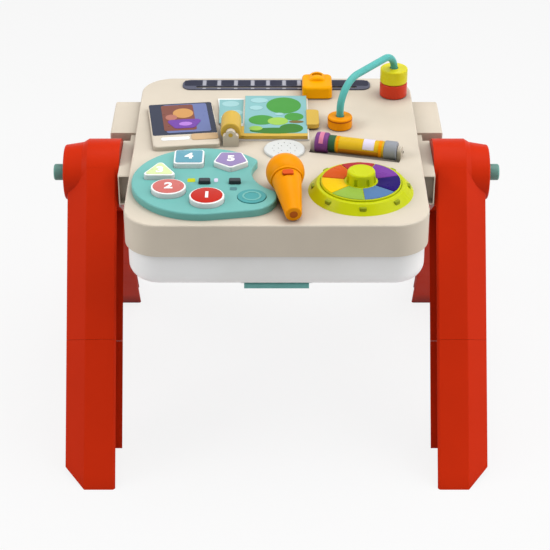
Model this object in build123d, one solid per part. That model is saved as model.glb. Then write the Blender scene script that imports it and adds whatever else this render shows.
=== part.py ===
from build123d import *
import math
import os

# Toddler's activity table. Millimetres, +Z up, origin on the floor under the table's centre, front at -Y.

# Tabletop body
TABLE_W = 382.0
TABLE_D = 436.0
TABLE_Y = 3.0
TABLE_CORNER_R = 45.0
TOP_Z = 360.0
SPLIT_Z = 315.5
BOTTOM_Z = 268.0
WALL = 3.0
TOP_EDGE_R = 2.5
TUB_INSET = 4.0
TUB_EDGE_R = 18.0
LIP = 6.0
SKIN_Z = TOP_Z - WALL
FLOOR_Z = BOTTOM_Z + WALL

# Screws that close the case
CASE_SCREW_RIGHT = [(150.0, -190.0), (165.0, 70.0), (165.0, 190.0)]
CASE_SCREW_SPOTS = [(side * x, y) for side in (-1, 1) for x, y in CASE_SCREW_RIGHT]
SCREW_R = 1.5
SCREW_HEAD_R = 3.3
SCREW_HEAD_H = 2.5
SCREW_LENGTH = 17.0
POST_R = 5.0
BOSS_TOP_Z = BOTTOM_Z + 9.0
HEAD_SEAT_Z = BOTTOM_Z + 6.0

# Running and loose fits
RUN_GAP = 0.05
SLIDE_GAP = 0.4

# Keypad panel in the shape of a palette
PALETTE_CENTRE = (-95.0, -113.0)
PALETTE_R = 90.0
LOBE_CENTRE = (-37.6, -155.6)
LOBE_R = 38.2
BITE_CENTRE = (28.8, -90.7)
BITE_R = 60.5
BITE_CORNER_R = 9.0
PANEL_H = 10.0
PANEL_Z = TOP_Z + PANEL_H
PANEL_SKIN = 3.0
PANEL_EDGE_R = 2.0

# Keys
KEY_SPOTS = {
    "key_1": (-87.0, -168.0),
    "key_2": (-136.0, -144.0),
    "key_3": (-149.5, -100.2),
    "key_4": (-113.5, -62.0),
    "key_5": (-59.0, -69.0),
    "flush_key": (-31.0, -159.0),
}
KEY_PROUD = 7.0
FLUSH_KEY_PROUD = 1.2
KEY_GAP = 0.5
KEY_WALL = 2.5
KEY_FLANGE = 1.8
KEY_FLANGE_H = 2.5
KEY_STEM_R = 5.0
KEY_STEM_Z = 350.0
STEM_HOLE_R = 6.5
KEY_EDGE_R = 1.2
ROUND_KEY_R = 22.0
OVAL_KEY_RX = 22.0
OVAL_KEY_RY = 20.5
TRIANGLE_KEY_APOTHEM = 13.4
SQUARE_KEY_W = 39.0
PENTAGON_KEY_APOTHEM = 19.5
FLUSH_KEY_R = 18.0
KEY_CORNER_R = 5.0

# Slide switches on the panel
SWITCH_SPOTS = {"volume_switch": (-91.5, -122.0), "mode_switch": (-53.0, -122.0)}
SWITCH_W = 15.0
SWITCH_D = 9.0
SWITCH_H = 5.0
SWITCH_CORNER_R = 2.5
SWITCH_EDGE_R = 1.2
SWITCH_NECK = 5.0
SWITCH_TRAVEL = 5.0
SWITCH_FOOT_W = 12.0
SWITCH_FOOT_H = 2.0

# Circuit board under the keypad
BOARD_CENTRE = (-95.0, -117.0)
BOARD_W = 150.0
BOARD_D = 132.0
BOARD_Z = 338.0
BOARD_T = 1.6
BOARD_CORNER_R = 3.0
BOARD_POST_R = 4.0
BOARD_POST_INSET = 7.0
CHIP_W = 22.0
CHIP_D = 14.0
CHIP_H = 2.5
DOME_R = 6.0
DOME_TOP_R = 3.6
DOME_H = 7.0

# Speaker and its grille
GRILLE_CENTRE = (10.5, -11.2)
GRILLE_R = 27.5
GRILLE_H = 3.6
GRILLE_EDGE_R = 2.4
GRILLE_RINGS = 2
GRILLE_RING_HOLES = 6
GRILLE_PITCH = 8.0
GRILLE_HOLE_R = 0.8
SPEAKER_R = 25.0
SPEAKER_RIM_H = 4.0
SPEAKER_MOUTH_R = 22.0
CONE_H = 10.0
DISH_H = 6.0
DISH_R = 20.0
DISH_LOW_R = 8.0
MAGNET_R = 14.0
MAGNET_H = 9.0

# Battery box in the floor of the tub
BATTERY_CENTRE = (90.0, 75.0)
BATTERY_BAY_W = 60.0
BATTERY_BAY_D = 50.0
BATTERY_WALL = 2.5
BATTERY_H = 20.0
DOOR_T = 2.5
DOOR_GROOVES = 4
DOOR_GROOVE_W = 16.0
DOOR_GROOVE_D = 1.5
DOOR_GROOVE_PITCH = 4.0
DOOR_GROOVE_DEPTH = 0.8
CELL_R = 7.1
CELL_LENGTH = 50.0
CELL_TIP_R = 2.7
CELL_TIP_LENGTH = 2.0
CELL_PITCH = 15.2
CELL_LIFT = 1.0
CELL_GAP = 0.3
CONTACT_W = 10.0
CONTACT_LIFT = 3.0

# Colour disc
DISC_CENTRE = (107.0, -125.0)
DISC_BASE_R = 67.0
DISC_BASE_TOP_R = 56.5
DISC_BASE_H = 12.0
DISC_BASE_EDGE_R = 2.0
DISC_BOSS_R = 12.0
DISC_R = 51.5
DISC_RIM_GAP = 0.8
DISC_RECESS = 4.0
DISC_T = 6.0
DISC_EDGE_R = 1.5
DISC_KNOB_R = 19.0
DISC_KNOB_TOP_R = 17.5
DISC_KNOB_H = 15.5
DISC_KNOB_EDGE_R = 3.0
FLUTE_COUNT = 8
FLUTE_R = 3.0
FLUTE_H = 10.0
DISC_AXLE_R = 4.0
AXLE_HEAD_R = 7.0
AXLE_HEAD_H = 5.0
AXLE_HEAD_GAP = 1.0

# Roller in the shape of a crayon
ROLLER_CENTRE = (106.0, -15.0)
ROLLER_TURN = -14.5
ROLLER_Z = 368.0
ROLLER_HALF = 55.0
ROLLER_R = 11.0
ROLLER_EDGE_R = 0.5
ROLLER_LEFT_R = 14.0
ROLLER_LEFT_END = -37.0
ROLLER_LEFT_EDGE_R = 3.0
ROLLER_RIGHT_R = 12.5
ROLLER_RIGHT_END = 38.0
ROLLER_RIGHT_EDGE_R = 2.0
ROLLER_AXLE_R = 2.0
TRAY_W = 122.0
TRAY_D = 34.0
TRAY_DEPTH = 14.0
TRAY_WALL = 2.5
CHEEK_T = 5.0
CHEEK_R = 7.0
CHEEK_GAP = 0.6

# Bead maze
WIRE_BASE_FRONT = (86.4, 61.0)
WIRE_BASE_REAR = (165.3, 163.8)
WIRE_R = 5.0
WIRE_TOP_Z = 424.0
WIRE_END_Z = 345.0
WIRE_BEND_FRONT_R = 40.0
WIRE_BEND_REAR_R = 24.0
NUT_R = 9.0
NUT_H = 5.0
BEAD_BORE_R = 6.0
FRONT_BEAD_R = 16.7
FRONT_BEAD_H = 16.0
REAR_BEAD_R = 19.2
REAR_BEAD_H = 20.4
BEAD_EDGE_R = 2.0

# Slider
TRACK_LENGTH = 268.0
TRACK_Y = 195.0
TRACK_D = 32.0
TRACK_CORNER_R = 12.8
TRACK_T = 1.5
SLOT_LENGTH = 230.0
SLOT_W = 6.0
SLOT_Y = 187.0
SLIDER_X = 57.5
SLIDER_W = 42.0
SLIDER_FRONT_Y = 147.0
SLIDER_REAR_Y = 195.0
SLIDER_H = 17.0
SLIDER_CORNER_R = 7.0
SLIDER_EDGE_R = 4.0
RIDGE_R = 15.0
RIDGE_RISE = 5.5
RIDGE_FRONT_Y = 168.0
RIDGE_REAR_Y = 192.0
RIDGE_EDGE_R = 4.0
GRIP_W = 14.0
GRIP_FRONT_Y = 178.0
GRIP_D = 7.0
GRIP_DEPTH = 4.0
SHOE_W = 20.0
SHOE_D = 14.0
SHOE_H = 5.0
SHOE_CORNER_R = 2.0
NECK_REACH = 2.0

# Toy tablet
TABLET_CENTRE = (-126.7, 56.2)
TABLET_TURN = 7.0
TABLET_W = 90.0
TABLET_D = 131.7
TABLET_H = 7.0
TABLET_CORNER_R = 7.0
TABLET_EDGE_R = 2.0
SCREEN_W = 86.5
SCREEN_D = 97.0
SCREEN_T = 2.8
SCREEN_SHIFT = 15.4
SCREEN_CORNER_R = 3.0
SCREEN_GAP = 0.2

# Picture page that turns on a barrel
BASE_CORNERS = [(-72.5, 17.0), (44.0, 17.0), (44.0, 145.5), (-82.0, 145.5)]
BASE_T = 2.5
PAGE_LEFT_X = -44.0
PAGE_RIGHT_X = 42.0
PAGE_FRONT_Y = 17.0
PAGE_REAR_Y = 144.0
PAGE_Z = 363.0
PAGE_T = 4.6
PICTURE_MARGIN = 8.0
PICTURE_NARROW_MARGIN = 3.5
PICTURE_T = 0.8
BARREL_X = -61.0
BARREL_Z = 377.0
BARREL_R = 13.5
BARREL_EDGE_R = 2.0
BARREL_FRONT_Y = 8.0
BARREL_REAR_Y = 50.0
BARREL_PIN_R = 3.0
PAGE_WEB_FRONT_Y = 18.0
PAGE_WEB_REAR_Y = 47.0
BRACKET_T = 8.0
BRACKET_W = 21.0
BRACKET_EYE_R = 6.5
BRACKET_EDGE_R = 4.0
TAB_LENGTH = 16.0
TAB_FRONT_Y = 49.0
TAB_REAR_Y = 96.0
TAB_RISE = 1.5
TAB_CORNER_R = 6.0

# Microphone
MIC_HEAD_CENTRE = Vector(11.0, -122.0, 385.2)
MIC_TIP = Vector(21.0, -207.0, 371.0)
MIC_HEAD_R = 24.6
MIC_NECK_R = 19.0
MIC_NECK_AT = 15.0
MIC_TIP_R = 10.2
MIC_TIP_EDGE_R = 1.8
MIC_END_WALL = 5.0
MIC_WALL = 2.5
MIC_BUTTON_AT = 24.0
MIC_BUTTON_L = 9.0
MIC_BUTTON_W = 14.0
MIC_BUTTON_CORNER_R = 3.6
MIC_BUTTON_TOP = 19.4
MIC_BUTTON_FOOT = 12.0
MIC_BUTTON_GAP = 0.3

# Latch under the front edge
LATCH_W = 82.0
LATCH_FRONT_Y = -200.0
LATCH_REAR_Y = -185.0
LATCH_LOW_Z = BOTTOM_Z - 8.4
LATCH_HIGH_Z = BOTTOM_Z - 0.4
LATCH_EDGE_R = 2.4
LATCH_AXIS_Y = -187.0
LATCH_AXIS_Z = BOTTOM_Z - 3.5
LATCH_PIN_R = 2.0
LUG_T = 4.0
LUG_R = 3.4

# Arms between the body and the hubs
ARM_LOW_Z = 305.0
ARM_HIGH_Z = 349.0
ARM_FRONT_Y = -63.0
ARM_REAR_Y = 42.0
ARM_OUTER_X = 207.5
ARM_EDGE_R = 3.0
POCKET_WALL = 1.6
POCKET_DEPTH = 12.0
POCKET_LOW_Z = 308.0
WING_FRONT_Y = 64.0
WING_REAR_Y = 163.0
WING_LOW_Z = 322.0
WING_OUTER_X = 228.0
ARM_WEB_OUTER_X = 199.0
PLUG_W = 36.0
PLUG_END_X = 246.0
PLUG_WALL = 3.5

# Side frames: an inverted V with a round hub
HUB_Z = 322.0
HUB_R = 45.0
HUB_INNER_X = 208.0
HUB_STEP_X = 251.0
HUB_TAPER_X = 258.0
HUB_TAPER_R = 40.6
HUB_OUTER_X = 283.5
HUB_OUTER_R = 36.6
HUB_WALL = 3.5
LEG_INNER_X = 208.0
LEG_CHAMFER_X = 251.0
LEG_OUTER_X = 278.5
LEG_CHAMFER_DEPTH = 24.0
LEG_SETBACK = 5.0
FOOT_Y = 277.0
LEG_LEAN = 34.6
LEG_DEPTH = 76.5
LEG_WALL = 2.5
LEG_EDGE_R = 3.0
LEG_HOLLOW_EDGE_R = 0.5
GROOVE_DEPTH = 24.0
GROOVE_RIB_H = 18.0
GROOVE_END = 5.0
SEAM_AT = 195.6
SEAM_GAP = 0.3
NECK_BELOW = 14.0
NECK_ABOVE = 30.0
FOOT_CUT_H = 10.0
SOCKET_WALL = 3.0
SOCKET_END_X = 252.0

# Release buttons in the hubs
BUTTON_R = 11.0
BUTTON_TIP_X = 299.0
BUTTON_EDGE_R = 2.5
BUTTON_ROOT_X = 265.5
BUTTON_FLANGE_R = 14.0
BUTTON_FLANGE_T = 5.0
BUTTON_BORE_R = 7.5
BUTTON_BORE_END_X = 290.0
SPRING_OUTER_R = 6.7
SPRING_INNER_R = 5.5
SPRING_END_X = 283.0

# Reach of cutting blocks, and the depth by which joined shapes run into each other
FAR = 700.0
OVERLAP = 1.0


def slab(sketch, low, high):
    """Extrude a flat sketch between two heights."""
    return Pos(0, 0, low) * extrude(sketch, amount=high - low)


def block(x0, x1, y0, y1, z0, z1):
    """Box between two corners."""
    return Pos((x0 + x1) / 2, (y0 + y1) / 2, (z0 + z1) / 2) * Box(x1 - x0, y1 - y0, z1 - z0)


def upright(spot, radius, low, high):
    """Vertical cylinder over a plan spot."""
    return Pos(spot[0], spot[1], (low + high) / 2) * Cylinder(radius, high - low)


def along_x(radius, x0, x1, y=0.0, z=0.0):
    """Cylinder lying along X."""
    return Pos((x0 + x1) / 2, y, z) * Rot(0, 90, 0) * Cylinder(radius, x1 - x0)


def along_y(radius, y0, y1, x=0.0, z=0.0):
    """Cylinder lying along Y."""
    return Pos(x, (y0 + y1) / 2, z) * Rot(90, 0, 0) * Cylinder(radius, y1 - y0)


def soften_top(solid, radius):
    """Round the edges of the highest face."""
    return fillet(solid.faces().sort_by(Axis.Z)[-1].edges(), radius)


def soften_bottom(solid, radius):
    """Round the edges of the lowest face."""
    return fillet(solid.faces().sort_by(Axis.Z)[0].edges(), radius)


def mirrored(solid):
    """The same piece on the other side of the table."""
    return mirror(solid, about=Plane.YZ)


# Tabletop body

def body_sketch(inset):
    """Plan of the tabletop's body, moved inwards by inset."""
    outline = RectangleRounded(TABLE_W - 2 * inset, TABLE_D - 2 * inset, TABLE_CORNER_R - inset)
    return Pos(0, TABLE_Y) * outline


def top_shell():
    outer = soften_top(slab(body_sketch(0), SPLIT_Z, TOP_Z), TOP_EDGE_R)
    shell = outer - slab(body_sketch(WALL), SPLIT_Z, SKIN_Z)
    for spot in CASE_SCREW_SPOTS:
        shell += upright(spot, POST_R, BOSS_TOP_Z, SKIN_Z)
        shell -= upright(spot, SCREW_R + RUN_GAP, BOSS_TOP_Z, BOSS_TOP_Z + SCREW_LENGTH)
    for spot in board_post_spots():
        shell += upright(spot, BOARD_POST_R, BOARD_Z + BOARD_T, SKIN_Z)
    for spot in KEY_SPOTS.values():
        shell -= upright(spot, STEM_HOLE_R, SKIN_Z, TOP_Z)
    for spot in (WIRE_BASE_FRONT, WIRE_BASE_REAR):
        shell -= upright(spot, WIRE_R + RUN_GAP, SKIN_Z, TOP_Z)
    shell -= upright(GRILLE_CENTRE, SPEAKER_MOUTH_R, SKIN_Z, TOP_Z)
    shell -= upright(DISC_CENTRE, DISC_AXLE_R + SLIDE_GAP, SKIN_Z, TOP_Z)
    shell -= slab(slider_slot(), SKIN_Z, TOP_Z)
    shell -= at_roller() * block(-TRAY_W / 2, TRAY_W / 2, -TRAY_D / 2, TRAY_D / 2, SKIN_Z, TOP_Z)
    return shell


def bottom_shell():
    outer = soften_bottom(slab(body_sketch(TUB_INSET), BOTTOM_Z, SPLIT_Z + LIP), TUB_EDGE_R)
    hollow = slab(body_sketch(TUB_INSET + WALL), FLOOR_Z, SPLIT_Z + LIP)
    hollow = soften_bottom(hollow, TUB_EDGE_R - WALL)
    tub = outer - hollow
    for spot in CASE_SCREW_SPOTS:
        tub += upright(spot, POST_R, FLOOR_Z - OVERLAP, BOSS_TOP_Z)
        tub -= upright(spot, SCREW_HEAD_R + SLIDE_GAP, BOTTOM_Z, HEAD_SEAT_Z)
        tub -= upright(spot, SCREW_R + SLIDE_GAP, HEAD_SEAT_Z, BOSS_TOP_Z)
    bay = Rectangle(BATTERY_BAY_W, BATTERY_BAY_D)
    tub -= Pos(*BATTERY_CENTRE, 0) * slab(bay, BOTTOM_Z, FLOOR_Z)
    for side in (-1, 1):
        inner_x = LATCH_W / 2 + SLIDE_GAP
        low_x = min(side * inner_x, side * (inner_x + LUG_T))
        lug = along_x(LUG_R, low_x, low_x + LUG_T, LATCH_AXIS_Y, LATCH_AXIS_Z)
        lug_y0 = LATCH_AXIS_Y - LUG_R
        lug_y1 = LATCH_AXIS_Y + LUG_R
        lug += block(low_x, low_x + LUG_T, lug_y0, lug_y1, LATCH_AXIS_Z, BOTTOM_Z + OVERLAP)
        tub += lug
        tub -= along_x(LATCH_PIN_R + RUN_GAP, low_x, low_x + LUG_T, LATCH_AXIS_Y, LATCH_AXIS_Z)
    return tub


def case_screws():
    screws = []
    for spot in CASE_SCREW_SPOTS:
        head = upright(spot, SCREW_HEAD_R, HEAD_SEAT_Z - SCREW_HEAD_H, HEAD_SEAT_Z)
        shank = upright(spot, SCREW_R, HEAD_SEAT_Z, HEAD_SEAT_Z + SCREW_LENGTH)
        screws.append(head + shank)
    return Compound(children=screws)


def front_latch():
    bar = block(-LATCH_W / 2, LATCH_W / 2, LATCH_FRONT_Y, LATCH_REAR_Y, LATCH_LOW_Z, LATCH_HIGH_Z)
    bar = fillet(bar.edges().filter_by(Axis.X), LATCH_EDGE_R)
    pin_end = LATCH_W / 2 + SLIDE_GAP + LUG_T
    return bar + along_x(LATCH_PIN_R, -pin_end, pin_end, LATCH_AXIS_Y, LATCH_AXIS_Z)


def arm_right():
    body_x = TABLE_W / 2
    arm = block(body_x, ARM_OUTER_X, ARM_FRONT_Y, ARM_REAR_Y, ARM_LOW_Z, ARM_HIGH_Z)
    arm = fillet(arm.edges().filter_by(Axis.X), ARM_EDGE_R)
    wing = block(body_x, WING_OUTER_X, WING_FRONT_Y, WING_REAR_Y, WING_LOW_Z, ARM_HIGH_Z)
    wing = fillet(wing.faces().sort_by(Axis.X)[-1].edges(), ARM_EDGE_R)
    web_y0 = ARM_REAR_Y - ARM_EDGE_R
    web_y1 = WING_FRONT_Y + ARM_EDGE_R
    web = block(body_x, ARM_WEB_OUTER_X, web_y0, web_y1, WING_LOW_Z, ARM_HIGH_Z - ARM_EDGE_R)
    plug = socket_block(PLUG_W / 2, ARM_OUTER_X - OVERLAP, PLUG_END_X)
    plug = fillet(plug.edges().filter_by(Axis.X), ARM_EDGE_R)
    bore = socket_block(PLUG_W / 2 - PLUG_WALL, ARM_OUTER_X, PLUG_END_X)
    return arm + wing + web + plug - bore - arm_pocket()


def arm_pocket():
    """Open pocket in the front end of the right arm."""
    x0 = TABLE_W / 2 + POCKET_WALL
    x1 = ARM_OUTER_X - POCKET_WALL
    return block(x0, x1, ARM_FRONT_Y, ARM_FRONT_Y + POCKET_DEPTH, POCKET_LOW_Z, ARM_HIGH_Z - POCKET_WALL)


# Keypad

def palette_sketch(inset):
    """Palette outline, moved inwards by inset."""
    round_part = Pos(*PALETTE_CENTRE) * Circle(PALETTE_R - inset)
    lobe = Pos(*LOBE_CENTRE) * Circle(LOBE_R - inset)
    outline = make_hull((round_part + lobe).edges())
    outline -= Pos(*BITE_CENTRE) * Circle(BITE_R + inset)
    round_off = BITE_CORNER_R - inset
    return offset(offset(outline, -round_off), round_off)


def rounded_polygon(apothem, sides, rotation, corner_r):
    polygon = RegularPolygon(apothem, sides, major_radius=False, rotation=rotation)
    return fillet(polygon.vertices(), corner_r)


def key_sketch(name, grow):
    """Outline of a key about its own centre, grown outwards by grow."""
    corner = KEY_CORNER_R + grow
    if name == "key_1":
        return Circle(ROUND_KEY_R + grow)
    if name == "key_2":
        return Ellipse(OVAL_KEY_RX + grow, OVAL_KEY_RY + grow)
    if name == "key_3":
        return rounded_polygon(TRIANGLE_KEY_APOTHEM + grow, 3, 90, corner)
    if name == "key_4":
        side = SQUARE_KEY_W + 2 * grow
        return RectangleRounded(side, side, corner)
    if name == "key_5":
        return rounded_polygon(PENTAGON_KEY_APOTHEM + grow, 5, -90, corner)
    return Circle(FLUSH_KEY_R + grow)


def key(name):
    spot = KEY_SPOTS[name]
    proud = FLUSH_KEY_PROUD if name == "flush_key" else KEY_PROUD
    top_z = PANEL_Z + proud
    flange_top = PANEL_Z - PANEL_SKIN - SLIDE_GAP
    flange_low = flange_top - KEY_FLANGE_H
    cap = soften_top(slab(key_sketch(name, 0), flange_low, top_z), min(KEY_EDGE_R, proud / 2))
    cap += slab(key_sketch(name, KEY_FLANGE), flange_low, flange_top)
    cap -= slab(key_sketch(name, -KEY_WALL), flange_low, top_z - KEY_WALL)
    cap += upright((0, 0), KEY_STEM_R, KEY_STEM_Z, top_z - KEY_WALL)
    return Pos(*spot, 0) * cap


def keypad_panel():
    panel = soften_top(slab(palette_sketch(0), TOP_Z, PANEL_Z), PANEL_EDGE_R)
    panel -= slab(palette_sketch(PANEL_SKIN), TOP_Z, PANEL_Z - PANEL_SKIN)
    for name, spot in KEY_SPOTS.items():
        panel -= Pos(*spot, 0) * slab(key_sketch(name, KEY_GAP), TOP_Z, PANEL_Z)
    for spot in SWITCH_SPOTS.values():
        slot = Rectangle(SWITCH_NECK + 2 * (SWITCH_TRAVEL + SLIDE_GAP), SWITCH_NECK + 2 * SLIDE_GAP)
        panel -= Pos(*spot, 0) * slab(slot, TOP_Z, PANEL_Z)
    return panel


def slide_switch(name):
    spot = SWITCH_SPOTS[name]
    low = PANEL_Z + SLIDE_GAP
    cap = slab(RectangleRounded(SWITCH_W, SWITCH_D, SWITCH_CORNER_R), low, low + SWITCH_H)
    cap = soften_top(cap, SWITCH_EDGE_R)
    foot_top = PANEL_Z - PANEL_SKIN - SLIDE_GAP
    neck = slab(Rectangle(SWITCH_NECK, SWITCH_NECK), foot_top - OVERLAP, low + OVERLAP)
    foot = slab(Rectangle(SWITCH_FOOT_W, SWITCH_D), foot_top - SWITCH_FOOT_H, foot_top)
    return Pos(*spot, 0) * (cap + neck + foot)


def board_post_spots():
    half_w = BOARD_W / 2 - BOARD_POST_INSET
    half_d = BOARD_D / 2 - BOARD_POST_INSET
    return [(BOARD_CENTRE[0] + i * half_w, BOARD_CENTRE[1] + j * half_d) for i in (-1, 1) for j in (-1, 1)]


def circuit_board():
    board = slab(RectangleRounded(BOARD_W, BOARD_D, BOARD_CORNER_R), BOARD_Z, BOARD_Z + BOARD_T)
    chip = slab(Rectangle(CHIP_W, CHIP_D), BOARD_Z - CHIP_H, BOARD_Z)
    return Pos(*BOARD_CENTRE, 0) * (board + chip)


def key_domes():
    domes = []
    base_z = BOARD_Z + BOARD_T
    for x, y in KEY_SPOTS.values():
        domes.append(Pos(x, y, base_z + DOME_H / 2) * Cone(DOME_R, DOME_TOP_R, DOME_H))
    return Compound(children=domes)


# Sound and power

def speaker_grille():
    plate = soften_top(upright((0, 0), GRILLE_R, TOP_Z, TOP_Z + GRILLE_H), GRILLE_EDGE_R)
    for ring in range(1, GRILLE_RINGS + 1):
        count = GRILLE_RING_HOLES * ring
        for spot in ring_of_spots(GRILLE_PITCH * ring, count):
            plate -= upright(spot, GRILLE_HOLE_R, TOP_Z, TOP_Z + GRILLE_H)
    return Pos(*GRILLE_CENTRE, 0) * plate


def ring_of_spots(radius, count, first=0.0):
    """Plan spots spread evenly on a circle, the first one at a turn of first steps."""
    turns = [2 * math.pi * (step + first) / count for step in range(count)]
    return [(radius * math.cos(turn), radius * math.sin(turn)) for turn in turns]


def speaker():
    rim_low = SKIN_Z - SPEAKER_RIM_H
    rim = upright((0, 0), SPEAKER_R, rim_low, SKIN_Z)
    cone = Pos(0, 0, rim_low - CONE_H / 2) * Cone(MAGNET_R, SPEAKER_MOUTH_R, CONE_H)
    magnet_top = rim_low - CONE_H + OVERLAP
    magnet = upright((0, 0), MAGNET_R, magnet_top - MAGNET_H, magnet_top)
    dish = Pos(0, 0, SKIN_Z - DISH_H / 2) * Cone(DISH_LOW_R, DISH_R, DISH_H)
    return Pos(*GRILLE_CENTRE, 0) * (rim + cone + magnet - dish)


def battery_box():
    outer = Rectangle(BATTERY_BAY_W + 2 * BATTERY_WALL, BATTERY_BAY_D + 2 * BATTERY_WALL)
    box = slab(outer, FLOOR_Z, FLOOR_Z + BATTERY_H)
    box -= slab(Rectangle(BATTERY_BAY_W, BATTERY_BAY_D), FLOOR_Z, FLOOR_Z + BATTERY_H - BATTERY_WALL)
    return Pos(*BATTERY_CENTRE, 0) * box


def battery_door():
    width = BATTERY_BAY_W - 2 * SLIDE_GAP
    depth = BATTERY_BAY_D - 2 * SLIDE_GAP
    door = slab(Rectangle(width, depth), BOTTOM_Z, BOTTOM_Z + DOOR_T)
    half_w = DOOR_GROOVE_W / 2
    for step in range(DOOR_GROOVES):
        low_y = step * DOOR_GROOVE_PITCH - depth / 4
        door -= block(-half_w, half_w, low_y, low_y + DOOR_GROOVE_D, BOTTOM_Z, BOTTOM_Z + DOOR_GROOVE_DEPTH)
    return Pos(*BATTERY_CENTRE, 0) * door


def battery_cells():
    cells = []
    z = FLOOR_Z + CELL_R + CELL_LIFT
    half = CELL_LENGTH / 2
    tip_x = half - CELL_TIP_LENGTH
    for row in (-1, 0, 1):
        y = row * CELL_PITCH
        cell = along_x(CELL_R, -half, tip_x, y, z) + along_x(CELL_TIP_R, tip_x, half, y, z)
        cells.append(Pos(*BATTERY_CENTRE, 0) * cell)
    return Compound(children=cells)


def battery_contacts():
    plates = []
    half = CONTACT_W / 2
    low = FLOOR_Z + CONTACT_LIFT
    near = CELL_LENGTH / 2 + CELL_GAP
    far = BATTERY_BAY_W / 2
    for x0, x1 in ((-far, -near), (near, far)):
        for row in (-1, 0, 1):
            y = row * CELL_PITCH
            plate = block(x0, x1, y - half, y + half, low, low + CONTACT_W)
            plates.append(Pos(*BATTERY_CENTRE, 0) * plate)
    return Compound(children=plates)


# Colour disc

def disc_base():
    base = Pos(0, 0, TOP_Z + DISC_BASE_H / 2) * Cone(DISC_BASE_R, DISC_BASE_TOP_R, DISC_BASE_H)
    base = soften_top(base, DISC_BASE_EDGE_R)
    recess_z = TOP_Z + DISC_BASE_H - DISC_RECESS
    base -= upright((0, 0), DISC_R + DISC_RIM_GAP, recess_z, TOP_Z + DISC_BASE_H)
    base -= upright((0, 0), DISC_BASE_TOP_R - 2 * WALL, TOP_Z, recess_z - WALL)
    base += upright((0, 0), DISC_BOSS_R, TOP_Z, recess_z)
    base -= upright((0, 0), DISC_AXLE_R + RUN_GAP, TOP_Z, recess_z)
    return Pos(*DISC_CENTRE, 0) * base


def disc_low_z():
    return TOP_Z + DISC_BASE_H - DISC_RECESS + SLIDE_GAP


def colour_disc():
    low = disc_low_z()
    disc = soften_top(upright((0, 0), DISC_R, low, low + DISC_T), DISC_EDGE_R)
    disc -= upright((0, 0), DISC_AXLE_R + RUN_GAP, low, low + DISC_T)
    return Pos(*DISC_CENTRE, 0) * disc


def disc_knob():
    low = disc_low_z() + DISC_T
    knob = Pos(0, 0, low + DISC_KNOB_H / 2) * Cone(DISC_KNOB_R, DISC_KNOB_TOP_R, DISC_KNOB_H)
    knob = soften_top(knob, DISC_KNOB_EDGE_R)
    for spot in ring_of_spots(DISC_KNOB_R, FLUTE_COUNT, 0.5):
        knob -= upright(spot, FLUTE_R, low, low + FLUTE_H)
    return Pos(*DISC_CENTRE, 0) * knob


def disc_axle():
    head_top = SKIN_Z - AXLE_HEAD_GAP
    head_low = head_top - AXLE_HEAD_H
    axle = upright((0, 0), DISC_AXLE_R, head_low, disc_low_z() + DISC_T)
    head = upright((0, 0), AXLE_HEAD_R, head_low, head_top)
    return Pos(*DISC_CENTRE, 0) * (axle + head)


# Roller

def at_roller():
    return Pos(*ROLLER_CENTRE, 0) * Rot(0, 0, ROLLER_TURN)


def roller_piece(radius, x0, x1, edge_r):
    piece = fillet(along_x(radius, x0, x1).edges(), edge_r)
    piece -= along_x(ROLLER_AXLE_R + RUN_GAP, x0, x1)
    return at_roller() * Pos(0, 0, ROLLER_Z) * piece


def roller_end_left():
    return roller_piece(ROLLER_LEFT_R, -ROLLER_HALF, ROLLER_LEFT_END, ROLLER_LEFT_EDGE_R)


def roller_body():
    return roller_piece(ROLLER_R, ROLLER_LEFT_END, ROLLER_RIGHT_END, ROLLER_EDGE_R)


def roller_end_right():
    return roller_piece(ROLLER_RIGHT_R, ROLLER_RIGHT_END, ROLLER_HALF, ROLLER_RIGHT_EDGE_R)


def roller_axle():
    half = ROLLER_HALF + CHEEK_T
    return at_roller() * along_x(ROLLER_AXLE_R, -half, half, 0, ROLLER_Z)


def roller_tray():
    half_w = TRAY_W / 2
    half_d = TRAY_D / 2
    out_w = half_w + TRAY_WALL
    out_d = half_d + TRAY_WALL
    low = SKIN_Z - TRAY_DEPTH
    tray = block(-out_w, out_w, -out_d, out_d, low, SKIN_Z)
    tray -= block(-half_w, half_w, -half_d, half_d, low + TRAY_WALL, SKIN_Z)
    near = ROLLER_HALF + CHEEK_GAP
    for x0, x1 in ((-half_w, -near), (near, half_w)):
        cheek = block(x0, x1, -CHEEK_R, CHEEK_R, low + OVERLAP, ROLLER_Z)
        cheek += along_x(CHEEK_R, x0, x1, 0, ROLLER_Z)
        tray += cheek - along_x(ROLLER_AXLE_R + RUN_GAP, x0, x1, 0, ROLLER_Z)
    return at_roller() * tray


# Bead maze

def wire_run():
    """Plan distance and turn of the arch, front base to rear base."""
    dx = WIRE_BASE_REAR[0] - WIRE_BASE_FRONT[0]
    dy = WIRE_BASE_REAR[1] - WIRE_BASE_FRONT[1]
    return math.hypot(dx, dy), math.degrees(math.atan2(dy, dx))


def maze_wire():
    run, turn = wire_run()
    front_z = WIRE_TOP_Z - WIRE_BEND_FRONT_R
    rear_z = WIRE_TOP_Z - WIRE_BEND_REAR_R
    up = Edge.make_line((0, 0, WIRE_END_Z), (0, 0, front_z))
    bend_front = bend((0, front_z), WIRE_BEND_FRONT_R, 1)
    over = Edge.make_line((WIRE_BEND_FRONT_R, 0, WIRE_TOP_Z), (run - WIRE_BEND_REAR_R, 0, WIRE_TOP_Z))
    bend_rear = bend((run, rear_z), WIRE_BEND_REAR_R, -1)
    down = Edge.make_line((run, 0, rear_z), (run, 0, WIRE_END_Z))
    path = Wire([up, bend_front, over, bend_rear, down])
    section = Plane(origin=(0, 0, WIRE_END_Z), z_dir=(0, 0, 1)) * Circle(WIRE_R)
    return Pos(*WIRE_BASE_FRONT, 0) * Rot(0, 0, turn) * sweep(section, path=path)


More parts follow.
